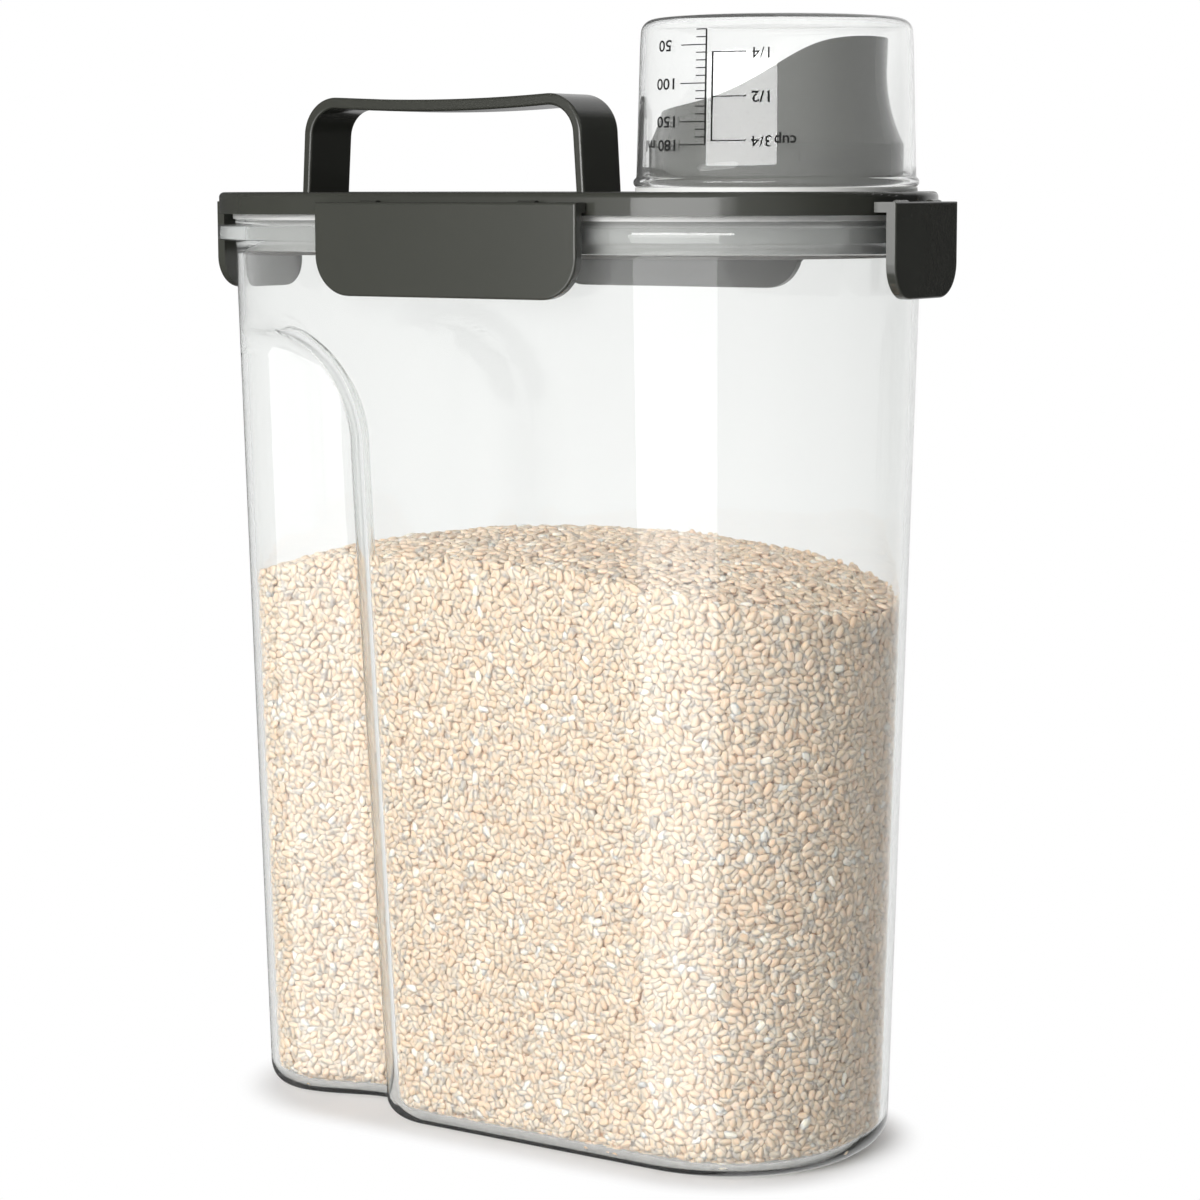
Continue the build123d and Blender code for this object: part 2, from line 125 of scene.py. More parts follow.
class RiceSizes(bpy.types.PropertyGroup):
    """Sizes and colours of the rice."""

    grain_long: length("Grain length", "Length of a grain", 3.9)
    grain_wide: length("Grain width", "Width of a grain", 2.7)
    grain_thick: length("Grain thickness", "Thickness of a grain", 1.5)
    sink: length("Sink", "How far a grain may lie behind its neighbours", 0.7)
    gap: length("Wall gap", "Air between the rice and the wall", 0.12)
    end_z: length("End level", "Level of the rice at the ends", 163.0)
    crown_z: length("Crown level", "Level of the rice in the middle", 178.0)
    swell: length("Swell", "Rise of the heap across its width", 4.5)
    pitch: length("Grain pitch", "Average spacing of the grains", 2.4)
    seed: IntProperty(name="Seed", description="Seed of the grain layout", default=11)
    pale: tint("Pale grain", "Colour of the palest grains", (0.83, 0.635, 0.492))
    warm: tint("Warm grain", "Colour of the warmest grains", (0.72, 0.528, 0.383))
    # Painted shade: the dark brown that shows in the gaps between the grains, where the rice lies in shade
    shade: tint("Depth", "Colour between the grains", (0.30, 0.185, 0.11))


class Finishes(bpy.types.PropertyGroup):
    """Colours of the moulded parts."""

    olive: tint("Olive plastic", "Lid, latches, handle and spout", (0.040, 0.0412, 0.0345))
    clear: tint("Clear plastic", "Tint of the clear mouldings", (0.985, 0.99, 0.985))
    absorb: tint("Wall tint", "What is left of white light along a wall", (0.57, 0.60, 0.58))
    vessel_clear: number("Container clearness", "Share of light that isn't hazed", 0.968, min=0.5, max=1)
    vessel_density: number("Container tint depth", "Strength of the tint", 44.0)
    cup_clear: number("Cup clearness", "Share of light that isn't hazed", 0.96, min=0.5, max=1)
    cup_density: number("Cup tint depth", "Strength of the tint", 6.0)
    silicone: tint("Silicone", "Sealing rings", (0.78, 0.78, 0.76))
    seal: tint("Lid seal", "Skirt of the lid", (0.30, 0.30, 0.295))
    ink: tint("Ink", "Printed scale", (0.012, 0.012, 0.012))


class StageSizes(bpy.types.PropertyGroup):
    """Camera and light."""

    lens: number("Lens", "Focal length for a 36 mm sensor", 94.82)
    eye: FloatVectorProperty(name="Eye", description="Place of the camera", subtype="TRANSLATION",
                             default=(0.537890, -0.806324, 0.287594))
    turn: angle("Turn", "Turn of the view from +Y", 33.141)
    dip: angle("Dip", "Dip of the view under the horizon", 7.457)
    roll: angle("Roll", "Roll of the camera", -0.116)
    key: number("Key", "Power of the key lamp", 41.0)
    fill: number("Fill", "Power of the lamp behind", 22.0)
    panel_high: number("High panel", "Power of the panel mirrored in the cup", 10.8)
    panel_lid: number("Lid panel", "Power of the panel mirrored in the lid", 3.9)
    panel_low: number("Low panel", "Power of the panel mirrored in the walls", 13.0)
    ambient: number("Ambient", "Level of the room light", 0.08)


def settings(name):
    """The named group of sizes on the scene."""
    return getattr(bpy.context.scene, "rice_store_" + name)


# Mesh helpers.


def skin_mesh(name, points, corners, sizes):
    """Mesh from whole arrays: points (n, 3), the corner indices of all faces in a row, and corners per face."""
    mesh = bpy.data.meshes.new(name)
    mesh.vertices.add(len(points))
    mesh.vertices.foreach_set("co", np.ascontiguousarray(points, np.float32).ravel())
    mesh.loops.add(len(corners))
    mesh.loops.foreach_set("vertex_index", np.ascontiguousarray(corners, np.int32))
    mesh.polygons.add(len(sizes))
    starts = np.concatenate([[0], np.cumsum(sizes)[:-1]]).astype(np.int32)
    mesh.polygons.foreach_set("loop_start", starts)
    mesh.polygons.foreach_set("use_smooth", np.ones(len(sizes), bool))
    mesh.update(calc_edges=True)
    return mesh


def ring_faces(rows, columns):
    """Corner indices over a grid of closed rings: the quads between the rings, and the fans to the two points that
    follow the grid's own, one before the first ring and one after the last."""
    i = np.arange(rows - 1)[:, None] * columns
    j = np.arange(columns)[None, :]
    k = (j + 1) % columns
    quads = np.stack(np.broadcast_arrays(i + j, i + k, i + columns + k, i + columns + j), -1).reshape(-1, 4)
    pole, last, j, k = rows * columns, (rows - 1) * columns, j[0], k[0]
    fans = np.concatenate([np.stack([np.full(columns, pole), k, j], -1),
                           np.stack([np.full(columns, pole + 1), last + j, last + k], -1)])
    return quads, fans


def split(quads, fans):
    """Triangles of the quads and the fans."""
    return np.concatenate([quads[:, [0, 1, 2]], quads[:, [0, 2, 3]], fans])


def closed_skin(name, grid, first, last):
    """Closed skin over a grid (rows, columns, 3): columns run round and close, and the points first and last
    close the two ends as poles. Faces are turned so that the enclosed volume counts as positive."""
    points = np.concatenate([grid.reshape(-1, 3), [first, last]])
    quads, fans = ring_faces(*grid.shape[:2])
    a, b, c = (points[corner] for corner in split(quads, fans).T)
    if np.einsum("ij,ij->i", a, np.cross(b, c)).sum() < 0:
        quads, fans = quads[:, ::-1], fans[:, ::-1]
    corners = np.concatenate([quads.ravel(), fans.ravel()])
    sizes = np.concatenate([np.full(len(quads), 4), np.full(len(fans), 3)])
    return skin_mesh(name, points, corners, sizes)


def unit(vectors):
    """Vectors (n, 3) brought to length 1."""
    return vectors / np.linalg.norm(vectors, axis=1)[:, None]


def even(count):
    """Even shares of a span, without its end."""
    return np.linspace(0, 1, count + 1)[:-1]


def add_piece(mesh, body, material):
    """Links a mesh as a piece that rides on a body and takes its finish from a slot."""
    piece = bpy.data.objects.new(mesh.name, mesh)
    bpy.context.scene.collection.objects.link(piece)
    piece.data.materials.append(material)
    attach(piece, body)
    return piece


# Clear container.

# Columns of a side: spout end, straight run, step, grip's floor and grip end.
END_COLUMNS, RUN_COLUMNS, STEP_COLUMNS, FLOOR_COLUMNS, CORNER_COLUMNS = 22, 10, 30, 26, 15
CORNER = math.radians(62)  # how far the grip's floor reaches round its end
# Levels of a wall: bottom edge, plain wall, arch and rim.
EDGE_ROWS, PLAIN_ROWS, ARCH_ROWS, RIM_ROWS = 12, 26, 48, 5
ARCH_BELOW, ARCH_ABOVE = 12 * MM, 3 * MM  # margins of the close levels
CAP_SHARES = np.array([0.35, 0.8])[:, None, None]  # rings of the two floors
FLAT = [1, 1, 0]


def plan_half(z, inset):
    """Half length and half width of the tapered plan at levels z, set in by a thickness."""
    v = settings("vessel")
    drop = (v.rim_z - z) * math.tan(v.draft) + inset
    return v.long / 2 - drop, v.wide / 2 - drop


def end_centre():
    """Where the round ends of the plan have their centres along the length."""
    v = settings("vessel")
    return v.long / 2 - v.wide / 2 + v.end_flat


def arch_centre():
    """Place and level of the centre of the arch over the grip."""
    v = settings("vessel")
    return v.grip_x - v.grip_arch, v.grip_top - v.grip_arch


def step_sizes(z, inset):
    """Start, run and growth of the step into the grip: the start leans below the arch, the run shortens over the
    arch, and a wall that is set in carries the step along by the step's slope."""
    v = settings("vessel")
    spring = arch_centre()[1]
    share = np.clip((z - spring) / v.grip_arch, 0, 1)
    run = v.grip_run + (v.grip_top_run - v.grip_run) * share
    grow = inset * (v.grip_depth + (v.grip_shoulder - v.grip_depth) * share) / run
    return v.grip_x + np.maximum(spring - z, 0) * math.tan(v.grip_lean), run, grow


def step_share(part):
    """Share of the step's depth along its run: two equal arcs that meet halfway as an S."""
    v = settings("vessel")
    part = np.clip(part, 0, 1)
    turn = 2 * math.atan(v.grip_depth / v.grip_run)
    rise = 1 - np.sqrt(1 - (2 * np.minimum(part, 1 - part) * math.sin(turn)) ** 2)
    rise = rise / (2 - 2 * math.cos(turn))
    return np.where(part < 0.5, rise, 1 - rise)


def side_half(x, z, inset):
    """Half width of the container at places x and levels z: the full round-ended plan less the share of the step
    times the depth of the grip, whose floor flares out and blends into the round end."""
    v = settings("vessel")
    arch_x, spring = arch_centre()
    half = plan_half(z, inset)[1]
    past_end = np.maximum(np.abs(x) - end_centre(), 0)
    full = v.end_flat + np.sqrt(np.maximum((half - v.end_flat) ** 2 - past_end**2, 0))
    start, run, grow = step_sizes(z, inset)
    flare = math.tan(v.grip_flare)
    past = np.maximum(start - v.grip_run - inset * flare / 2 - x, 0)
    bend = np.where(past < v.grip_bend, past**2 / (2 * v.grip_bend), past - v.grip_bend / 2)
    floor = half - v.grip_depth + flare * bend
    near = np.maximum(v.grip_round - np.abs(full - floor), 0) / v.grip_round
    slim = np.minimum(full, floor) - v.grip_round / 4 * near**2
    arch = v.grip_arch - np.hypot(np.maximum(x - arch_x, 0), np.maximum(z - spring, 0))
    share = step_share((np.where(z > spring, arch, start - x) + grow) / run)
    return full - share * (full - slim)


def side_places(z, inset):
    """Places along the length of the columns of one side, from the spout end to the grip end: even angles round
    the end, a straight run, close steps through the grip's edge, its floor, and even angles again."""
    v = settings("vessel")
    (arch_x, spring), centre = arch_centre(), end_centre()
    radius = plan_half(z, inset)[1] - v.end_flat
    start, run, grow = step_sizes(z, inset)
    above = np.maximum(z - spring, 0)
    outer = arch_x + np.sqrt(np.maximum((v.grip_arch + grow) ** 2 - above**2, 0))
    inner_arch = np.maximum(v.grip_arch + grow - run, 0)
    inner = arch_x + np.sqrt(inner_arch**2 - np.minimum(above, inner_arch) ** 2)
    first = np.maximum(np.where(z > spring, outer, start + grow), -centre)
    last = np.minimum(np.where(z > spring, inner, start + grow - v.grip_run), first - v.grip_top_run)
    turn = -centre - radius * math.sin(CORNER)
    return np.concatenate([
        centre + radius * np.cos(even(END_COLUMNS) * math.pi / 2),
        centre + (first - centre) * even(RUN_COLUMNS),
        first + (last - first) * even(STEP_COLUMNS),
        last + (turn - last) * even(FLOOR_COLUMNS),
        -centre - radius * np.sin(CORNER + (math.pi / 2 - CORNER) * np.linspace(0, 1, CORNER_COLUMNS))], axis=1)


def vessel_rows(z, inset):
    """Rows of the container's form at levels z and insets, as a grid that goes round from the spout end along
    the near side and back along the far side."""
    z, inset = np.asarray(z, float)[:, None], np.asarray(inset, float)[:, None]
    inset = np.broadcast_to(inset, z.shape)
    x = side_places(z, inset)
    y = side_half(x, z, inset)
    x, y = np.concatenate([x, x[:, ::-1]], 1), np.concatenate([-y, y[:, ::-1]], 1)
    return np.stack([x, y, np.broadcast_to(z, x.shape)], -1)


def rim_rows(z, set_in):
    """Rows of the flange: the columns of the body at its rim, moved out to the flange's own round-ended plan."""
    v = settings("vessel")
    base = vessel_rows([v.rim_z], [0.0])[0]
    centre, radius = end_centre(), v.wide / 2 - v.end_flat
    over = np.clip((np.abs(base[:, 0]) - centre) / radius, 0, 1)
    flange_radius = v.flange_wide / 2 - v.flange_flat - np.asarray(set_in)[:, None]
    flange_centre = v.flange_long / 2 - v.flange_wide / 2 + v.flange_flat
    along = np.clip(base[:, 0], -centre, centre) * flange_centre / centre
    x = along + np.sign(base[:, 0]) * over * flange_radius
    y = np.sign(base[:, 1]) * (v.flange_flat + flange_radius * np.sqrt(1 - over**2))
    return np.stack([x, y, np.broadcast_to(np.asarray(z)[:, None], x.shape)], -1)


def round_inset(z, low, radius):
    """Inset of a quarter-round bottom edge: radius less the half-chord at each level above low."""
    reach = np.clip(radius - (z - low), 0, radius)
    return radius - np.sqrt(np.maximum(radius**2 - reach**2, 0))


def wall_levels(low, radius, high):
    """Levels up a wall: close together round the bottom edge and across the arch of the grip."""
    v = settings("vessel")
    bend = low + radius * (1 - np.cos(np.linspace(0, math.pi / 2, EDGE_ROWS)))
    spring, top = v.grip_top - v.grip_arch - ARCH_BELOW, v.grip_top + ARCH_ABOVE
    plain = np.linspace(low + radius, spring, PLAIN_ROWS)[1:]
    arch = np.linspace(spring, top, ARCH_ROWS)[1:]
    rest = np.linspace(top, high, RIM_ROWS)[1:]
    return np.concatenate([bend, plain, arch, rest])


def vessel_shell():
    """Closed skin of the container. The profile starts at the middle of the underside, goes up the outer wall,
    round the flange and the lip, down the inner wall and ends at the middle of the inner floor."""
    v = settings("vessel")
    outer_z = wall_levels(0.0, v.base_radius, v.rim_z)
    outer = vessel_rows(outer_z, round_inset(outer_z, 0.0, v.base_radius))
    arc = np.linspace(0, math.pi / 2, 4)
    rise, fall = 1 - np.cos(arc), 1 - np.sin(arc)
    edge, curl = 0.6 * MM, 0.5 * MM
    flange_top = v.rim_z + v.flange
    flange_z = np.concatenate([[v.rim_z], v.rim_z + edge * rise, flange_top - edge * fall, [flange_top]])
    flange = rim_rows(flange_z, np.concatenate([[1.5 * edge], edge * fall, edge * rise, [1.5 * edge]]))
    top = flange_top + v.lip
    lip_z = np.concatenate([[flange_top], top - curl * fall, top - curl * rise])
    lip = vessel_rows(lip_z, np.concatenate([[0], curl * rise, v.wall - curl * fall]))
    inner_radius = v.base_radius - v.wall
    inner_z = wall_levels(v.floor, inner_radius, top - 2 * curl)[::-1]
    inner = vessel_rows(inner_z, v.wall + round_inset(inner_z, v.floor, inner_radius))
    under = outer[:1] * (CAP_SHARES * FLAT)
    inside = inner[-1:] * (CAP_SHARES[::-1] * FLAT) + [0, 0, v.floor]
    grid = np.concatenate([under, outer, flange, lip, inner, inside])
    return closed_skin("container_shell", grid, (0, 0, 0), (0, 0, v.floor))


# Rice.

ROW_SHARE = 0.86  # spacing of the rows of grains, as a share of the spacing along them
WALL_JITTER, ROW_JITTER, TOP_JITTER = 0.32, 0.3, 0.4  # random shifts, as shares of the spacing
SIZE_SPREAD, SIZE_LIMITS = 0.1, (0.78, 1.25)  # of the random scale of a grain
HALF_STEP, AHEAD = 0.5 * MM, 0.8 * MM  # steps for slopes up and round the wall
HEAP_GAP, HEAP_INSET, HEAP_JITTER = 0.8 * MM, 1.6 * MM, (-0.8 * MM, 0.4 * MM)
# The dark core stands in for the shade deep between the grains: its darkness is painted shade
CORE_INSET, CORE_FLOOR, CORE_DROP, CORE_SIDE = 1.5 * MM, 1.6 * MM, 3 * MM, 4 * MM  # of the dark core


def rice_level(x, y=None):
    """Level of the heap: an arc along the length through both end levels and the crown, and away from the walls
    a low swell across the width."""
    r, v = settings("rice"), settings("vessel")
    reach, rise = v.long / 2, r.crown_z - r.end_z
    radius = (reach**2 + rise**2) / (2 * rise)
    level = r.crown_z - radius + np.sqrt(radius**2 - np.minimum(np.abs(x), reach) ** 2)
    if y is None:
        return level
    half = side_half(x, level, v.wall)
    across = np.clip(1 - (y / np.maximum(half, MM)) ** 2, 0, 1)
    return level + r.swell * across * np.clip(1 - (x / reach) ** 4, 0, 1)


def grain_template(sides, rings):
    """One grain of unit half sizes: an egg-like ball, narrower at one end, as rings between two poles."""
    polar = np.linspace(0, math.pi, rings + 2)[1:-1]
    turn = np.arange(sides) * 2 * math.pi / sides
    along = np.cos(polar)[:, None]
    girth = (np.sin(polar) ** 0.65 * (1 - 0.12 * np.cos(polar)))[:, None]
    ball = np.stack(np.broadcast_arrays(along, girth * np.cos(turn), girth * np.sin(turn)), -1).reshape(-1, 3)
    points = np.concatenate([ball, [[1, 0, 0], [-1, 0, 0]]])
    quads, fans = ring_faces(rings, sides)
    return points, split(quads[:, [0, 3, 2, 1]], fans[:, [0, 2, 1]])


def scatter_grains(name, places, normals, seed, sides, rings, tilt):
    """One mesh of grains: each is the template, scaled a little at random, laid in the plane across its normal,
    turned at random in that plane, tilted out of it and moved to its place."""
    r = settings("rice")
    rng = np.random.default_rng(seed)
    count = len(places)
    template, tris = grain_template(sides, rings)
    side = unit(np.cross(normals, rng.normal(size=(count, 3))))
    lean = rng.normal(0, tilt, count)[:, None]
    along = side * np.cos(lean) + normals * np.sin(lean)
    up = normals * np.cos(lean) - side * np.sin(lean)
    across = np.cross(up, along)
    half = np.array([r.grain_long, r.grain_wide, r.grain_thick]) / 2
    scale = rng.normal(1, SIZE_SPREAD, (count, 3)).clip(*SIZE_LIMITS) * half
    axes = np.stack([along, across, up], 1) * scale[:, :, None]
    points = np.einsum("pk,gkc->gpc", template, axes)
    reach = np.einsum("gpc,gc->gp", points, normals).max(1) + rng.uniform(0, r.sink, count)
    points += (places - normals * reach[:, None])[:, None, :]
    faces = (tris[None] + np.arange(count)[:, None, None] * len(template)).reshape(-1)
    mesh = skin_mesh(name, points.reshape(-1, 3), faces, np.full(count * len(tris), 3))
    tone = mesh.attributes.new("grain_tone", "FLOAT", "POINT")
    tone.data.foreach_set("value", np.repeat(rng.random(count), len(template)).astype(np.float32))
    return mesh


def read_ring(at, travel, values):
    """Each column of a ring's values, read between its points at distances round it."""
    return np.stack([np.interp(at, travel, column) for column in values.T], -1)


def wall_places(depth, pitch, seed):
    """Places and outward normals of grains against the wall: rows of levels, with even steps of arc length
    round each row and a random shift, cut off above the heap."""
    r, v = settings("rice"), settings("vessel")
    rng = np.random.default_rng(seed)
    inset = v.wall + r.gap + depth
    low, radius = v.floor + r.gap + depth, max(v.base_radius - inset, 2 * MM)
    places, normals = [], []
    for z in np.arange(low + HALF_STEP, r.crown_z, pitch * ROW_SHARE):
        shifted = np.array([z - HALF_STEP, z, z + HALF_STEP])
        rows = vessel_rows(shifted, inset + round_inset(shifted, low, radius))
        under, ring, over = np.concatenate([rows, rows[:, :1]], 1)
        steps = np.linalg.norm(np.diff(ring, axis=0), axis=1)
        travel = np.concatenate([[0], np.cumsum(steps)])
        count = int(travel[-1] / pitch)
        order = np.arange(count) + rng.random() + rng.uniform(-WALL_JITTER, WALL_JITTER, count)
        at = order * travel[-1] / count % travel[-1]
        place = read_ring(at, travel, ring)
        rise = read_ring(at, travel, over - under)
        ahead = read_ring((at + AHEAD) % travel[-1], travel, ring) - place
        out = unit(np.cross(rise, ahead))
        shift = rng.uniform(-ROW_JITTER, ROW_JITTER, count) * pitch
        place = place + unit(rise) * shift[:, None]
        keep = (place[:, 2] < rice_level(place[:, 0]) - HEAP_GAP) & (place[:, 2] > low)
        places.append(place[keep])
        normals.append(out[keep])
    return np.concatenate(places), np.concatenate(normals)


def top_places(drop, pitch, seed):
    """Places of grains on the heap: a shifted grid over the length and width, kept inside the wall, with the
    normals of the heap."""
    r, v = settings("rice"), settings("vessel")
    rng = np.random.default_rng(seed)
    x, y = np.meshgrid(np.arange(-v.long / 2, v.long / 2, pitch),
                       np.arange(-v.wide / 2, v.wide / 2, pitch * ROW_SHARE))
    odd = (np.arange(len(x)) % 2)[:, None]
    x = (x + odd * pitch / 2 + rng.uniform(-TOP_JITTER, TOP_JITTER, x.shape) * pitch).ravel()
    y = (y + rng.uniform(-TOP_JITTER, TOP_JITTER, y.shape) * pitch).ravel()
    z = rice_level(x, y) - drop + rng.uniform(*HEAP_JITTER, len(x))
    inset = v.wall + r.gap + HEAP_INSET
    reach = plan_half(z, inset)[0]
    keep = (np.abs(x) < reach) & (np.abs(y) < side_half(x, z, inset))
    x, y, z = x[keep], y[keep], z[keep]
    slope_x = (rice_level(x + MM, y) - rice_level(x - MM, y)) / (2 * MM)
    slope_y = (rice_level(x, y + MM) - rice_level(x, y - MM)) / (2 * MM)
    return np.stack([x, y, z], -1), unit(np.stack([-slope_x, -slope_y, np.ones_like(x)], -1))


def rice_core():
    """Closed core behind the grains, dark with painted shade that shows through their gaps: the wall's rows set
    further in, scaled to a point under the heap and at the floor."""
    r, v = settings("rice"), settings("vessel")
    inset = v.wall + r.gap + CORE_INSET
    low = v.floor + CORE_FLOOR
    z = np.linspace(low, r.end_z - CORE_SIDE, 40)
    rows = vessel_rows(z, inset + round_inset(z, low, v.base_radius - inset))
    cap = rows[-1:] * np.array([0.95, 0.8, 0.5, 0.2])[:, None, None]
    cap[..., 2] = rice_level(cap[..., 0], cap[..., 1]) - CORE_DROP
    rows[-1, :, 2] = rice_level(rows[-1, :, 0]) - CORE_DROP
    foot = rows[:1] * (np.array([0.4, 0.9])[:, None, None] * FLAT) + [0, 0, low]
    crown = r.crown_z + r.swell - CORE_DROP
    return closed_skin("rice_core", np.concatenate([foot, rows, cap]), (0, 0, low), (0, 0, crown))


# Measuring cup.

CUP_COLUMNS = 128
LUG_TURN, LUG_SINK, LUG_RISE = 9.4, 0.3 * MM, 0.55 * MM  # half of a lug's reach in degrees, its sink and climb
PRINT_LIFT, PRINT_RADIUS, PRINT_HEIGHT = 0.04 * MM, 40.0, 4.4  # the last two in millimetres
PRINT_WEIGHT = 0.015  # swelling of the letters, as a share of their height
STRIP = 8  # quads in a printed line
# Words of the scale: text, angle of the start in degrees, stretch and level in millimetres.
WORDS = (("50", -108.0, 1.45, 327.1), ("100", -104.3, 1.45, 316.4), ("150", -103.5, 1.45, 305.8),
         ("180 ml", -103.1, 1.36, 299.2), ("1/4", -61.5, 1.07, 324.6), ("1/2", -61.5, 1.07, 312.5),
         ("3/4", -61.5, 1.07, 300.2), ("cup", -51.9, 1.0, 300.2))


def cup_profile():
    """Radius and height pairs of the cup's wall, from the outer side of its closed end down to the bead, round
    it, and up the inner side."""
    c = settings("cup")
    lean = math.atan2(c.mouth - c.end, c.height)
    arc = np.linspace(0, math.pi / 2 - lean, 9)
    side = c.end - c.corner
    outer = np.stack([side + c.corner * np.sin(arc), c.height - c.corner * (1 - np.cos(arc))], -1)
    wall_z = np.linspace(outer[-1, 1], c.bead_height + 0.3 * MM, 12)[1:]
    wall = np.stack([c.mouth + (c.end - c.mouth) * wall_z / c.height, wall_z], -1)
    half = c.bead_height / 2
    turn = np.linspace(math.radians(60), math.radians(-90), 14)
    bead = np.stack([c.bead - half + half * np.cos(turn), half + half * np.sin(turn)], -1)
    inside, soft, chamfer = c.mouth - c.wall, 2.4 * MM, 0.4 * MM
    foot = np.array([[inside + chamfer, 0], [inside, chamfer]])
    inner_z = np.linspace(2 * chamfer, c.height - c.wall - soft, 14)
    inner = np.stack([inside + (c.end - c.mouth) * inner_z / c.height, inner_z], -1)
    bend = np.linspace(0, math.pi / 2, 7)
    close = np.stack([inner[-1, 0] - soft * (1 - np.cos(bend)), inner[-1, 1] + soft * np.sin(bend)], -1)[1:]
    return np.concatenate([outer, wall, bead, foot, inner, close])


def revolve_grid(profile, centre, base, count):
    """Grid of a profile turned about an upright axis: radius times the direction of each column, plus height."""
    turn = np.arange(count) * 2 * math.pi / count
    r, z = profile[:, 0][:, None], profile[:, 1][:, None]
    x, y = centre + r * np.cos(turn), r * np.sin(turn)
    return np.stack([x, y, np.broadcast_to(base + z, x.shape)], -1)


def cup_shell():
    """Closed skin of the cup, turned from its profile, with poles at the middle of its closed end."""
    c = settings("cup")
    profile = cup_profile()
    base = CUP_LOW.z
    inset = np.array([[profile[0, 0] * 0.5, c.height]])
    inside = np.array([[profile[-1, 0] * 0.5, profile[-1, 1]]])
    grid = revolve_grid(np.concatenate([inset, profile, inside]), c.x, base, CUP_COLUMNS)
    return closed_skin("cup_shell", grid, (c.x, 0, base + c.height), (c.x, 0, base + profile[-1, 1]))


def cup_lug(middle):
    """Closed skin of one locking lug: a rounded bar that follows the inner wall over nineteen degrees and climbs
    a little along it, as rings of a rounded rectangle carried along the arc."""
    c = settings("cup")
    ring = np.arange(16) * 2 * math.pi / 16
    box_r = np.sign(np.cos(ring)) * np.abs(np.cos(ring)) ** 0.5
    box_z = np.sign(np.sin(ring)) * np.abs(np.sin(ring)) ** 0.5
    along = np.linspace(-1, 1, 15)
    full = np.sqrt(np.clip(1 - (np.abs(along) ** 9), 0.02, 1))[:, None]
    turn = math.radians(middle) + np.radians(LUG_TURN) * along
    outer = c.mouth - c.wall + LUG_SINK - (c.mouth - c.end) * c.lug_level / c.height
    radius = outer - c.lug_deep / 2 + box_r * c.lug_deep / 2 * full
    z = CUP_LOW.z + c.lug_level + c.lug_height / 2 + LUG_RISE * along[:, None] + box_z * c.lug_height / 2.6 * full
    x, y = c.x + radius * np.cos(turn)[:, None], radius * np.sin(turn)[:, None]
    grid = np.stack([x, y, z], -1)
    return closed_skin(f"cup_lug_{int(middle) % 360}", grid, grid[0].mean(0), grid[-1].mean(0))


def scale_bars():
    """Quads of the printed scale as (low angle, high angle, low level, high level), in degrees and millimetres: two
    upright lines, a tick for every ten millilitres, longer at the numbered ones, and three for parts of a cup."""
    half, step, lowest = 0.15, 2.135, 299.15
    numbered, cup_levels = (0, 3, 8, 13), (300.25, 312.5, 324.8)
    bars = [(-90.1, -89.3, lowest - half, 331.0 + half),
            (-87.1, -86.3, cup_levels[0] - half, cup_levels[-1] + half)]
    for n in range(16):
        z = lowest + n * step
        bars.append((-102.6 if n in numbered else -94.6, -89.7, z - half, z + half))
    for z in cup_levels:
        bars.append((-86.7, -72.3, z - half, z + half))
    return np.array(bars)


def bend_on_cup(degrees, z):
    """Points just outside the cup's wall at angles in degrees and levels in millimetres."""
    c = settings("cup")
    level = z * MM
    radius = c.mouth + (c.end - c.mouth) * (level - CUP_LOW.z) / c.height + PRINT_LIFT
    turn = np.radians(degrees)
    return np.stack([c.x + radius * np.cos(turn), radius * np.sin(turn), level], -1)


def bar_mesh():
    """Thin patches of ink: each bar is a strip of quads bent round the cup."""
    bars = scale_bars()
    count = STRIP + 1
    turn = bars[:, :1] + (bars[:, 1:2] - bars[:, :1]) * np.linspace(0, 1, count)
    low, high = (bend_on_cup(turn, np.broadcast_to(level[:, None], turn.shape)) for level in bars[:, 2:].T)
    points = np.stack([low, high], 1).reshape(-1, 3)
    first = (np.arange(len(bars)) * 2 * count)[:, None] + np.arange(STRIP)
    quads = np.stack([first, first + 1, first + count + 1, first + count], -1).reshape(-1)
    return skin_mesh("scale_lines", points, quads, np.full(len(bars) * STRIP, 4))


def word_mesh(text, anchor, stretch, level):
    """A word in the scale's print, turned upside down as on the upturned cup: flat text made a mesh, then bent
    so that its x runs against the angle and its y down the wall."""
    curve = bpy.data.curves.new("word", "FONT")
    curve.body = text
    curve.align_y = "CENTER"
    curve.size = PRINT_HEIGHT
    curve.resolution_u = 4
    # Any offset closes the opening of this font's 4.
    curve.offset = 0.0 if "4" in text else PRINT_WEIGHT * PRINT_HEIGHT
    holder = bpy.data.objects.new("word", curve)
    bpy.context.scene.collection.objects.link(holder)
    bpy.context.view_layer.update()
    mesh = bpy.data.meshes.new_from_object(holder.evaluated_get(bpy.context.evaluated_depsgraph_get()))
    bpy.data.objects.remove(holder)
    flat = np.zeros(len(mesh.vertices) * 3, np.float32)
    mesh.vertices.foreach_get("co", flat)
    flat = flat.reshape(-1, 3).astype(float)
    turn = anchor - np.degrees(flat[:, 0] * stretch / PRINT_RADIUS)
    points = bend_on_cup(turn, level - flat[:, 1])
    mesh.vertices.foreach_set("co", points.astype(np.float32).ravel())
    mesh.update()
    return mesh


# Materials.

LID_SIDE = 6.8 * MM  # height of the lid's olive side, over its seal
FADE_IN, FADE_OUT = 6 * MM, 12 * MM  # of the floor's shade, from the edge of the base
FINE = 0.2 * MM  # height of a fine surface
WHITE = (1, 1, 1, 1)


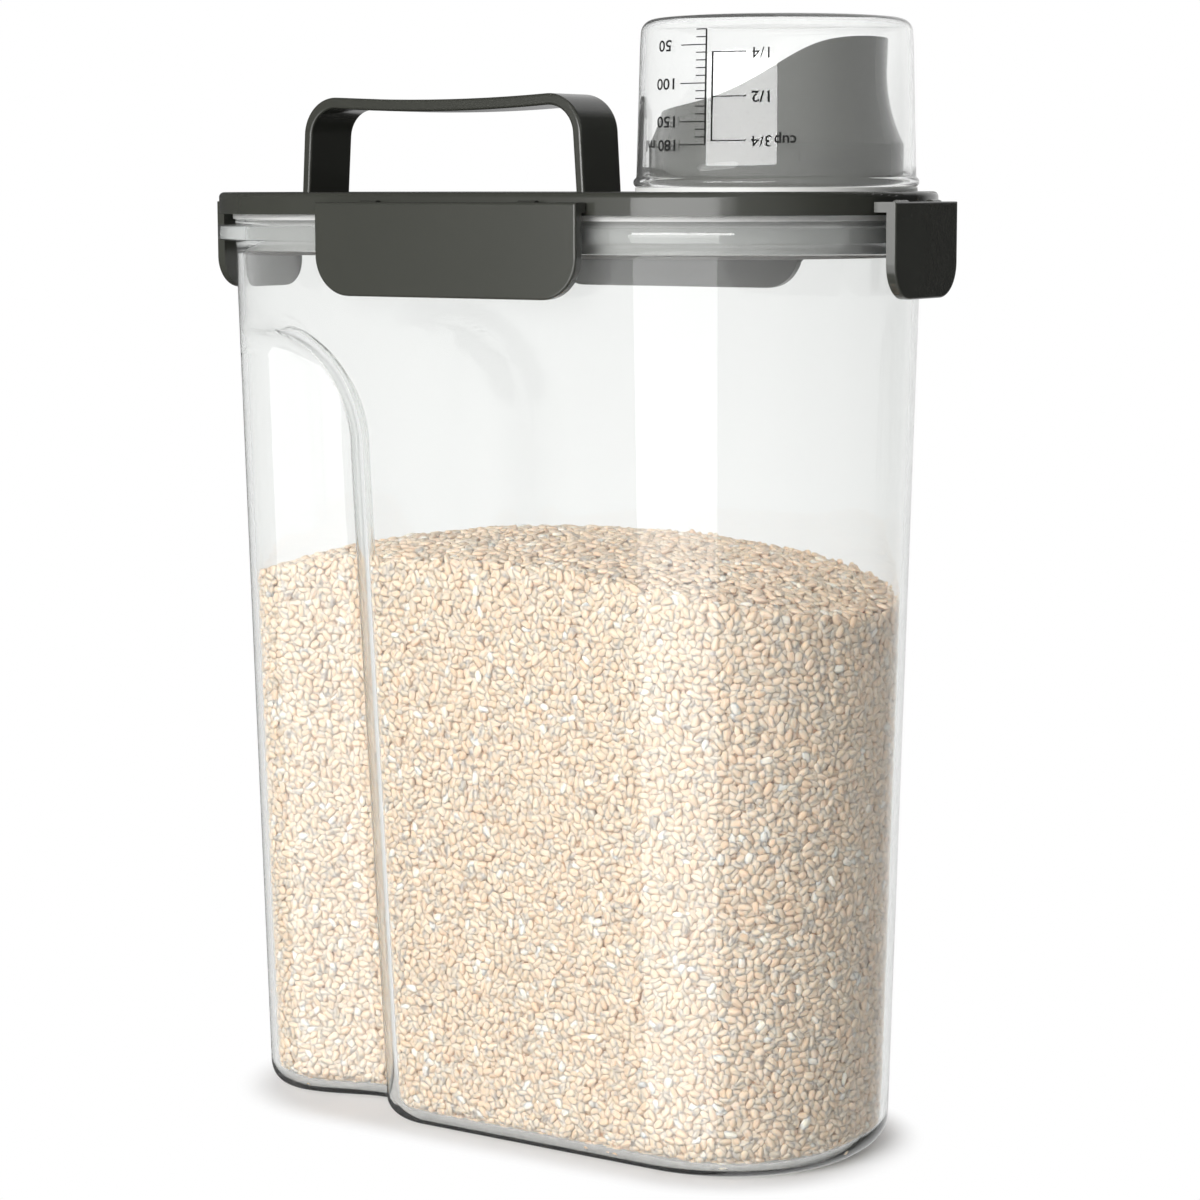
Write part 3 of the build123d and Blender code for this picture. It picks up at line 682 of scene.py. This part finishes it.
class Tree:
    """Nodes of a material or of the room. A value given to a node is a constant, or an output to link to it."""

    def __init__(self, owner, out="ShaderNodeOutputMaterial"):
        owner.use_nodes = True
        self.nodes, self.links = owner.node_tree.nodes, owner.node_tree.links
        self.nodes.clear()
        self.out = self.nodes.new(out)

    def feed(self, socket, value):
        """Sets a constant on a socket, or links an output to it."""
        if isinstance(value, bpy.types.NodeSocket):
            self.links.new(value, socket)
        else:
            socket.default_value = value

    def add(self, kind, *values, **named):
        """A node with values on its first sockets and on named ones, with an underscore for a space."""
        node = self.nodes.new("ShaderNode" + kind)
        for socket, value in zip(node.inputs, values):
            self.feed(socket, value)
        for name, value in named.items():
            self.feed(node.inputs[name.replace("_", " ")], value)
        return node

    def place(self, kind="Object"):
        """Coordinates of a kind."""
        return self.add("TexCoord").outputs[kind]

    def noise(self, scale, detail=3.0):
        """Noise on Object coordinates."""
        return self.add("TexNoise", Vector=self.place(), Scale=scale, Detail=detail).outputs["Fac"]

    def spread(self, source, low, high):
        """Maps 0 to 1 onto a range."""
        return self.add("MapRange", Value=source, To_Min=low, To_Max=high).outputs["Result"]

    def ramp(self, source, low, high, first, last):
        """Soft ramp from a first level to a last one over a span."""
        node = self.add("MapRange", Value=source, From_Min=low, From_Max=high, To_Min=first, To_Max=last)
        node.interpolation_type = "SMOOTHSTEP"
        return node.outputs["Result"]

    def maths(self, operation, first, second):
        """A Math node on two values."""
        node = self.add("Math", first, second)
        node.operation = operation
        return node.outputs[0]

    def blend(self, share, low, high):
        """Mix of two colours by a share. The low one may be an output."""
        mix = self.add("Mix", share)
        mix.data_type = "RGBA"
        self.feed(mix.inputs[6], low if isinstance(low, bpy.types.NodeSocket) else (*low, 1))
        self.feed(mix.inputs[7], (*high, 1))
        return mix.outputs[2]

    def bump(self, source, strength, distance):
        """Bump from a height."""
        return self.add("Bump", Height=source, Strength=strength, Distance=distance).outputs["Normal"]

    def surface(self, **values):
        """A Principled shader as the surface."""
        self.feed(self.out.inputs["Surface"], self.add("BsdfPrincipled", **values).outputs[0])

    def mixed_surface(self, share, first, second):
        """A mix of two shaders by a share as the surface."""
        mix = self.add("MixShader", share, first.outputs[0], second.outputs[0])
        self.feed(self.out.inputs["Surface"], mix.outputs[0])

    def seen_directly(self):
        """1 for what the camera sees, straight or through clear walls."""
        path = self.add("LightPath")
        return self.maths("MAXIMUM", path.outputs["Is Camera Ray"], path.outputs["Is Transmission Ray"])


def new_material(name):
    """An empty material and its tree."""
    material = bpy.data.materials.new(name)
    return material, Tree(material)


def olive_plastic(name, seal_z=None):
    """Dark olive moulded plastic: cloudy colour, slight changes of gloss and a very fine moulded surface. Below
    the level of a seal it turns to the seal's pale grey."""
    f = settings("finish")
    material, tree = new_material(name)
    low, high = [c * 0.94 for c in f.olive], [min(c * 1.06, 1) for c in f.olive]
    colour = tree.blend(tree.noise(35.0), low, high)
    if seal_z is not None:
        parts = tree.add("SeparateXYZ", tree.place())
        colour = tree.blend(tree.maths("LESS_THAN", parts.outputs["Z"], seal_z), colour, f.seal)
    fine = tree.noise(900.0, 2.0)
    tree.surface(Base_Color=colour, Roughness=tree.spread(fine, 0.13, 0.19), Normal=tree.bump(fine, 0.05, FINE),
                 IOR=1.49)
    return material


def clear_plastic(name, clear, density):
    """Clear moulded plastic: glass-like with a little milky haze, a slow waviness and a grey tint along its walls.
    Shadow rays pass, so that the lamps reach what is inside."""
    f = settings("finish")
    material, tree = new_material(name)
    shader = tree.add("BsdfPrincipled", Base_Color=(*f.clear, 1), Transmission_Weight=clear, Roughness=0.015,
                      IOR=1.46, Normal=tree.bump(tree.noise(14.0, 1.0), 0.04, 2 * MM))
    through = tree.add("BsdfTransparent", Color=(0.965, 0.968, 0.962, 1))
    tree.mixed_surface(tree.add("LightPath").outputs["Is Shadow Ray"], shader, through)
    absorb = tree.add("VolumeAbsorption", Color=(*f.absorb, 1), Density=density)
    tree.feed(tree.out.inputs["Volume"], absorb.outputs[0])
    return material


def rice_grain():
    """Rice: cream grains, each with its own tone, a few chalky white ones, and a soft waxy surface."""
    r = settings("rice")
    material, tree = new_material("rice_grain")
    attribute = tree.add("Attribute")
    attribute.attribute_name = "grain_tone"
    tone = attribute.outputs["Fac"]
    chalk = tree.maths("GREATER_THAN", tone, 0.96)
    colour = tree.blend(chalk, tree.blend(tone, r.warm, r.pale), (0.88, 0.77, 0.66))
    fine = tree.noise(700.0, 2.0)
    tree.surface(Base_Color=colour, Roughness=tree.spread(fine, 0.38, 0.55), Normal=tree.bump(fine, 0.15, FINE),
                 Subsurface_Weight=0.8, Subsurface_Scale=1.6 * MM, Subsurface_Radius=(1.0, 0.8, 0.6))
    return material


def rice_painted_shade():
    """Painted shade between the grains: dark brown, speckled like grains further in."""
    r = settings("rice")
    material, tree = new_material("rice_painted_shade")
    cells = tree.add("TexVoronoi", Vector=tree.place(), Scale=320.0)
    # Painted shade, a little lighter in spots
    colour = tree.blend(cells.outputs["Distance"], [c * 1.8 for c in r.shade], r.shade)
    tree.surface(Base_Color=colour, Roughness=0.8)
    return material


def silicone():
    """Pale silicone: satin, slightly uneven in tone."""
    f = settings("finish")
    material, tree = new_material("silicone")
    clouds = tree.noise(60.0)
    colour = tree.blend(clouds, [c * 0.95 for c in f.silicone], f.silicone)
    tree.surface(Base_Color=colour, Roughness=tree.spread(clouds, 0.4, 0.5))
    return material


def scale_ink():
    """Black matt print on the cup."""
    f = settings("finish")
    material, tree = new_material("scale_ink")
    colour = tree.blend(tree.noise(300.0), f.ink, [c * 1.6 for c in f.ink])
    tree.surface(Base_Color=colour, Roughness=0.9, Specular_IOR_Level=0.1)
    return material


def pale_floor():
    """Pale floor: matt white close to the base, where it takes the shadow, fading to plain white further out. The
    fade follows the distance from the round-ended plan of the base."""
    v = settings("vessel")
    material, tree = new_material("pale_floor")
    matt, glow = tree.add("BsdfDiffuse", Color=(0.9, 0.9, 0.9, 1)), tree.add("Emission", Color=WHITE)
    away = tree.place()
    for operation, *values in (("ABSOLUTE",), ("SUBTRACT", (end_centre(), v.end_flat, 1)), ("MAXIMUM", (0, 0, 0)),
                               ("LENGTH",)):
        node = tree.add("VectorMath", away, *values)
        node.operation = operation
        away = node.outputs["Value" if operation == "LENGTH" else "Vector"]
    edge = v.wide / 2 - v.end_flat - v.rim_z * math.tan(v.draft)
    fade = tree.ramp(away, edge - FADE_IN, edge + FADE_OUT, 0, 1)
    tree.mixed_surface(tree.maths("MULTIPLY", fade, tree.seen_directly()), matt, glow)
    return material


def finish_node(node, material):
    """Gives a part that keeps its solid its finish."""
    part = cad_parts[node]
    part.data.materials.clear()
    part.data.materials.append(material)


# Stage.

FLOOR_REACH, FLOOR_DROP = 4.0, 0.4 * MM


def lay_floor(scene):
    """Square of floor just under the base, which no reflection shows."""
    square = np.array([[-1, -1, 0], [1, -1, 0], [1, 1, 0], [-1, 1, 0]])
    points = square * FLOOR_REACH - [0, 0, FLOOR_DROP]
    floor = bpy.data.objects.new("floor", skin_mesh("floor", points, np.arange(4), np.array([4])))
    scene.collection.objects.link(floor)
    floor.data.materials.append(pale_floor())
    floor.visible_glossy = False


def hang_lamps(scene):
    """Lamps at a turn in degrees from the front, a distance and a level, which face a level on the upright axis.
    Panels show only in reflections, and the other lamps only light."""
    s = settings("stage")
    for name, turn, away, level, aim, wide, tall, power in (
            ("key", -4.0, 1.65, 0.88, 0.16, 1.1, 1.1, s.key),
            ("fill", 180.0, 1.65, 0.4, 0.16, 1.1, 0.7, s.fill),
            ("panel_high", 2.73, 1.646, 0.42, 0.42, 1.88, 0.16, s.panel_high),
            ("panel_lid", -1.85, 1.646, 0.265, 0.265, 1.62, 0.15, s.panel_lid),
            ("panel_low", -1.85, 1.646, -0.23, -0.23, 1.62, 0.84, s.panel_low)):
        lamp = bpy.data.lights.new(name, "AREA")
        lamp.shape = "RECTANGLE"
        lamp.size, lamp.size_y, lamp.energy = wide, tall, power
        holder = bpy.data.objects.new(name, lamp)
        scene.collection.objects.link(holder)
        side = math.radians(turn)
        holder.location = (math.sin(side) * away, -math.cos(side) * away, level)
        facing = Vector((0, 0, aim)) - holder.location
        holder.rotation_euler = facing.to_track_quat("-Z", "Y").to_euler()
        panel = name.startswith("panel")
        holder.visible_diffuse, holder.visible_glossy = not panel, panel
        holder.visible_transmission = False


def room_level(tree):
    """Level of the room: even for what it lights, and for reflections dark at the far left and right, brighter in
    front and behind, as ramps over the direction in degrees round the upright axis."""
    parts = tree.add("SeparateXYZ", tree.place("Generated"))
    turn = tree.maths("ARCTAN2", parts.outputs["X"], tree.maths("MULTIPLY", parts.outputs["Y"], -1))
    level = 1
    for operation, low, high, first, last in (("MULTIPLY", -40, -30, 0.08, 0.6), ("MULTIPLY", 42, 88, 1.0, 0.12),
                                              ("MAXIMUM", 152, 174, 0.0, 0.85), ("MAXIMUM", -152, -138, 0.85, 0.0)):
        level = tree.maths(operation, level, tree.ramp(turn, math.radians(low), math.radians(high), first, last))
    mix = tree.add("Mix", tree.add("LightPath").outputs["Is Glossy Ray"])
    tree.feed(mix.inputs[2], settings("stage").ambient)
    tree.feed(mix.inputs[3], level)
    return mix.outputs[0]


def light_room(scene):
    """Room that is plain white where the camera sees it and gives light and reflections of its own level."""
    scene.world = bpy.data.worlds.new("room")
    tree = Tree(scene.world, "ShaderNodeOutputWorld")
    room = tree.add("Background", Color=WHITE, Strength=room_level(tree))
    tree.mixed_surface(tree.seen_directly(), room, tree.add("Background", Color=WHITE))


def set_camera(scene):
    """Camera of the photo, from its place, turn, dip, roll and lens."""
    s = settings("stage")
    lens = bpy.data.cameras.new("camera")
    lens.lens, lens.sensor_width = s.lens, 36.0
    lens.clip_start, lens.clip_end = 0.01, 50.0
    camera = bpy.data.objects.new("camera", lens)
    scene.collection.objects.link(camera)
    level = math.cos(s.dip)
    ahead = Vector((-math.sin(s.turn) * level, math.cos(s.turn) * level, -math.sin(s.dip)))
    camera.location = Vector(s.eye)
    tilt = Matrix.Rotation(s.roll, 3, "Z")
    camera.rotation_euler = (ahead.to_track_quat("-Z", "Y").to_matrix() @ tilt).to_euler()
    scene.camera = camera


# Operators, one for each piece or group of like pieces.


class RICE_STORE_OT_vessel(bpy.types.Operator):
    """Make the clear container"""

    bl_idname = "rice_store.vessel"
    bl_label = "Clear container"

    def execute(self, context):
        f = settings("finish")
        piece = add_piece(vessel_shell(), "container",
                          clear_plastic("clear_plastic", f.vessel_clear, f.vessel_density))
        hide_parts("container_body")
        return {"FINISHED"}


class RICE_STORE_OT_rice(bpy.types.Operator):
    """Fill the container with rice"""

    bl_idname = "rice_store.rice"
    bl_label = "Rice"

    def execute(self, context):
        r = settings("rice")
        # The core takes painted shade, which shows dark between the grains
        core = add_piece(rice_core(), "container", rice_painted_shade())
        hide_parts("rice_fill")
        grain = rice_grain()
        layers = (("rice_wall", wall_places(0.0, r.pitch, r.seed), 5, 4, 0.07),
                  ("rice_wall_inner", wall_places(0.55 * MM, r.pitch, r.seed + 1), 4, 3, 0.12),
                  ("rice_top", top_places(0.0, r.pitch, r.seed + 2), 5, 4, 0.3),
                  ("rice_top_inner", top_places(1.3 * MM, r.pitch, r.seed + 3), 4, 3, 0.4))
        for name, (places, normals), sides, rings, tilt in layers:
            share = 4 * (places[:, 2] > r.end_z / 2) + 2 * (places[:, 0] > 0) + (places[:, 1] > 0)
            for n in np.unique(share):
                part = share == n
                mesh = scatter_grains(f"{name}_{n + 1}", places[part], normals[part], r.seed + 4 + n,
                                      sides, rings, tilt)
                add_piece(mesh, "container", grain)
        return {"FINISHED"}


class RICE_STORE_OT_cup(bpy.types.Operator):
    """Make the measuring cup and its locking lugs"""

    bl_idname = "rice_store.cup"
    bl_label = "Measuring cup"

    def execute(self, context):
        f = settings("finish")
        clear = clear_plastic("cup_plastic", f.cup_clear, f.cup_density)
        piece = add_piece(cup_shell(), "cup", clear)
        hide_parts("measuring_cup")
        for middle in (-85.0, 95.0):
            add_piece(cup_lug(middle), "cup", clear)
        return {"FINISHED"}


class RICE_STORE_OT_scale(bpy.types.Operator):
    """Print the millilitre and cup scale"""

    bl_idname = "rice_store.scale"
    bl_label = "Printed scale"

    def execute(self, context):
        ink = scale_ink()
        add_piece(bar_mesh(), "cup", ink)
        for text, anchor, stretch, level in WORDS:
            mesh = word_mesh(text, anchor, stretch, level)
            mesh.name = "scale_" + text.replace("/", "_of_").replace(" ", "_")
            add_piece(mesh, "cup", ink)
        return {"FINISHED"}


class RICE_STORE_OT_mouldings(bpy.types.Operator):
    """Finish the lid, handle, spout and latches"""

    bl_idname = "rice_store.mouldings"
    bl_label = "Olive mouldings"

    def execute(self, context):
        finish_node("lid", olive_plastic("lid_plastic", LID_HIGH.z - LID_SIDE))
        olive = olive_plastic("olive_plastic")
        for node in ("carry_handle", "pour_spout", "latch_front", "latch_back", "latch_spout_end", "latch_grip_end"):
            finish_node(node, olive)
        return {"FINISHED"}


class RICE_STORE_OT_seals(bpy.types.Operator):
    """Finish the silicone rings"""

    bl_idname = "rice_store.seals"
    bl_label = "Silicone rings"

    def execute(self, context):
        pale = silicone()
        for node in ("lid_gasket", "cup_seal"):
            finish_node(node, pale)
        return {"FINISHED"}


class RICE_STORE_OT_stage(bpy.types.Operator):
    """Set the floor, the lamps, the room and the camera"""

    bl_idname = "rice_store.stage"
    bl_label = "Stage"

    def execute(self, context):
        for step in (lay_floor, hang_lamps, light_room, set_camera):
            step(context.scene)
        context.scene.view_settings.view_transform = "Standard"
        return {"FINISHED"}


class RICE_STORE_PT_panel(bpy.types.Panel):
    """Pieces of the rice storage container"""

    bl_idname = "RICE_STORE_PT_panel"
    bl_label = "Rice Store"
    bl_space_type = "VIEW_3D"
    bl_region_type = "UI"
    bl_category = "Rice Store"

    def draw(self, context):
        for operator in OPERATORS:
            self.layout.operator(operator.bl_idname)
        for name in GROUPS:
            group = settings(name)
            box = self.layout.box()
            box.label(text=name.capitalize())
            for key in group.__annotations__:
                box.prop(group, key)


GROUPS = {"vessel": VesselSizes, "cup": CupSizes, "rice": RiceSizes, "finish": Finishes, "stage": StageSizes}
OPERATORS = (RICE_STORE_OT_vessel, RICE_STORE_OT_rice, RICE_STORE_OT_cup, RICE_STORE_OT_scale,
             RICE_STORE_OT_mouldings, RICE_STORE_OT_seals, RICE_STORE_OT_stage)


def register():
    """Registers the sizes, the operators and the panel."""
    for name, group in GROUPS.items():
        bpy.utils.register_class(group)
        setattr(bpy.types.Scene, "rice_store_" + name, PointerProperty(type=group))
    for item in (*OPERATORS, RICE_STORE_PT_panel):
        bpy.utils.register_class(item)


def unregister():
    """Takes them out again."""
    for item in (RICE_STORE_PT_panel, *reversed(OPERATORS)):
        bpy.utils.unregister_class(item)
    for name, group in GROUPS.items():
        delattr(bpy.types.Scene, "rice_store_" + name)
        bpy.utils.unregister_class(group)


def main():
    """Makes every piece in order."""
    register()
    bpy.ops.rice_store.vessel()
    bpy.ops.rice_store.rice()
    bpy.ops.rice_store.cup()
    bpy.ops.rice_store.scale()
    bpy.ops.rice_store.mouldings()
    bpy.ops.rice_store.seals()
    bpy.ops.rice_store.stage()


if __name__ == "__main__":
    main()
